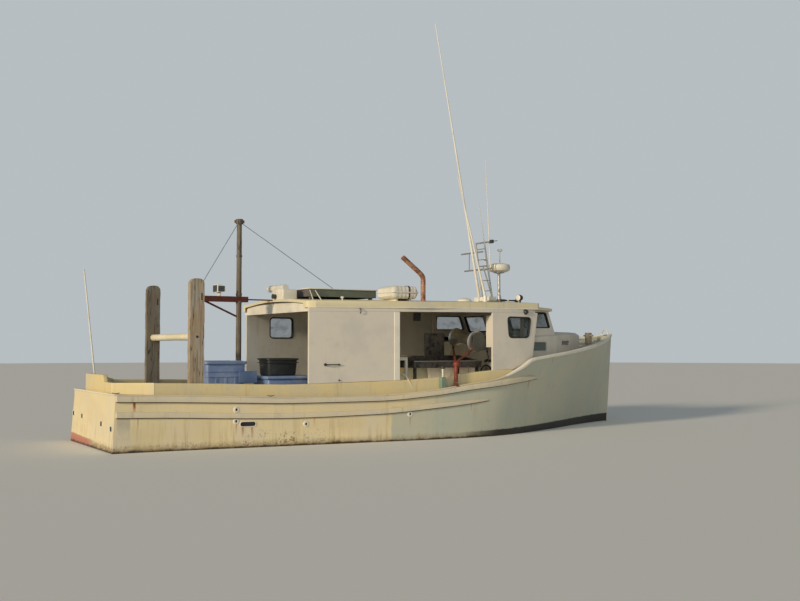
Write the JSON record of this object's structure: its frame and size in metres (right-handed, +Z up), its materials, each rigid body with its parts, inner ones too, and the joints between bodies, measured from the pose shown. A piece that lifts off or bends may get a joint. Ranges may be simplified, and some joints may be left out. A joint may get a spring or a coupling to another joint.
{
  "type": "inshore fishing boat",
  "caption": "Glass-fibre inshore fishing boat afloat, with a working deck aft, gallows posts, an open-sided hardtop wheelhouse, a net hauler and a low trunk cabin forward.",
  "frame": {"origin": "in the plane of the water, on the centreline, midway along the waterline", "axes": "+X forward to the bow, +Y to port, +Z up"},
  "size_m": [11.7328, 4.0706, 9.3327],
  "materials": {
    "hull_paint": "weathered cream-yellow paint on glass fibre",
    "bottom_paint": "dull red-brown antifouling paint",
    "cabin_white": "chalky off-white paint",
    "roof_cream": "cream paint, weathered",
    "grey_wood": "bare weathered timber",
    "rusty_steel": "old red paint over rust",
    "dark_steel": "dark painted steel",
    "bright_steel": "worn stainless steel",
    "aluminium_tube": "weathered aluminium tube",
    "bronze": "dull bronze",
    "engine_iron": "painted cast iron",
    "blue_plastic": "faded blue moulded plastic",
    "black_plastic": "dark moulded plastic",
    "white_gloss": "white moulded plastic",
    "roller_cream": "cream plastic sleeve"
  },
  "bodies": {
    "boat": {"hull": "hull_paint", "keel": "bottom_paint", "engine": "engine_iron", "upper_guard_starboard": "hull_paint", "lower_guard_starboard": "hull_paint", "bulwark_starboard": "hull_paint", "front_wall_starboard": "cabin_white", "gallows_post_starboard": "grey_wood", "upper_guard_port": "hull_paint", "lower_guard_port": "hull_paint", "bulwark_port": "hull_paint", "front_wall_port": "cabin_white", "gallows_post_port": "grey_wood", "bulwark_stern": "hull_paint", "trunk_cabin": "cabin_white", "bridge_front": "cabin_white", "aft_panel": "cabin_white", "forward_panel": "cabin_white", "header": "cabin_white", "port_wall": "cabin_white", "roof": "roof_cream", "roof_aft_beam": "cabin_white", "bulkhead": "cabin_white", "helm_console": "cabin_white", "derrick": "rusty_steel", "floodlight": "white_gloss", "stay_aft": "dark_steel", "stay_fore": "dark_steel", "fish_tub": "blue_plastic", "lidded_box": "blue_plastic", "tote": "black_plastic", "stern_pole": "white_gloss", "hauler_stand": "rusty_steel", "rail_roller": "white_gloss", "picking_table": "dark_steel", "bench": "grey_wood", "exhaust_stack": "rusty_steel", "raft_canister": "white_gloss", "roof_rack": "aluminium_tube", "roof_locker": "white_gloss", "aerial_mast": "aluminium_tube", "long_whip": "white_gloss", "second_whip": "white_gloss", "radar": "white_gloss", "searchlight": "white_gloss", "roof_dome": "white_gloss", "bow_bitt": "grey_wood", "bow_hoop": "white_gloss"},
    "screw": {"propeller": "bronze"},
    "rudder_blade": {"rudder": "bottom_paint"},
    "wheel": {"helm_wheel": "bright_steel"},
    "door": {"companion_door": "cabin_white"},
    "engine_lid": {"engine_hatch": "cabin_white"},
    "foredeck_lid": {"foredeck_hatch": "cabin_white"},
    "drum": {"hauler_drum": "bright_steel"},
    "roller": {"gallows_roller": "roller_cream"}
  },
  "joints": [
    {"name": "propeller_spin", "type": "hinge", "parent": "boat", "child": "screw", "pos_m": [-4.755, 0, -0.775], "axis": [1, 0, 0], "continuous": true},
    {"name": "rudder_turn", "type": "hinge", "parent": "boat", "child": "rudder_blade", "pos_m": [-5.215, 0, -0.75], "axis": [0, 0, 1], "range_deg": [-35, 35]},
    {"name": "helm_wheel_turn", "type": "hinge", "parent": "boat", "child": "wheel", "pos_m": [1.643, -1.05, 1.12], "axis": [1, 0, 0], "range_deg": [-420, 420]},
    {"name": "companion_door_swing", "type": "hinge", "parent": "boat", "child": "door", "pos_m": [2.01, 0.713, 1], "axis": [0, 0, -1], "range_deg": [0, 100]},
    {"name": "engine_hatch_lift", "type": "hinge", "parent": "boat", "child": "engine_lid", "pos_m": [0.175, 0.475, 0.345], "axis": [-1, 0, 0], "range_deg": [0, 95]},
    {"name": "foredeck_hatch_lift", "type": "hinge", "parent": "boat", "child": "foredeck_lid", "pos_m": [4.37, 0, 1.65], "axis": [0, -1, 0], "range_deg": [0, 95]},
    {"name": "hauler_drum_spin", "type": "hinge", "parent": "boat", "child": "drum", "pos_m": [1.085, -1.16, 1.8122], "axis": [0, 0.9917, 0.1289], "continuous": true},
    {"name": "gallows_roller_turn", "type": "hinge", "parent": "boat", "child": "roller", "pos_m": [-4.365, 0, 1.835], "axis": [0, 1, 0], "continuous": true}
  ],
  "couplings": [
    {"joint": "helm_wheel_turn", "follows": "rudder_turn", "ratio": 12}
  ]
}
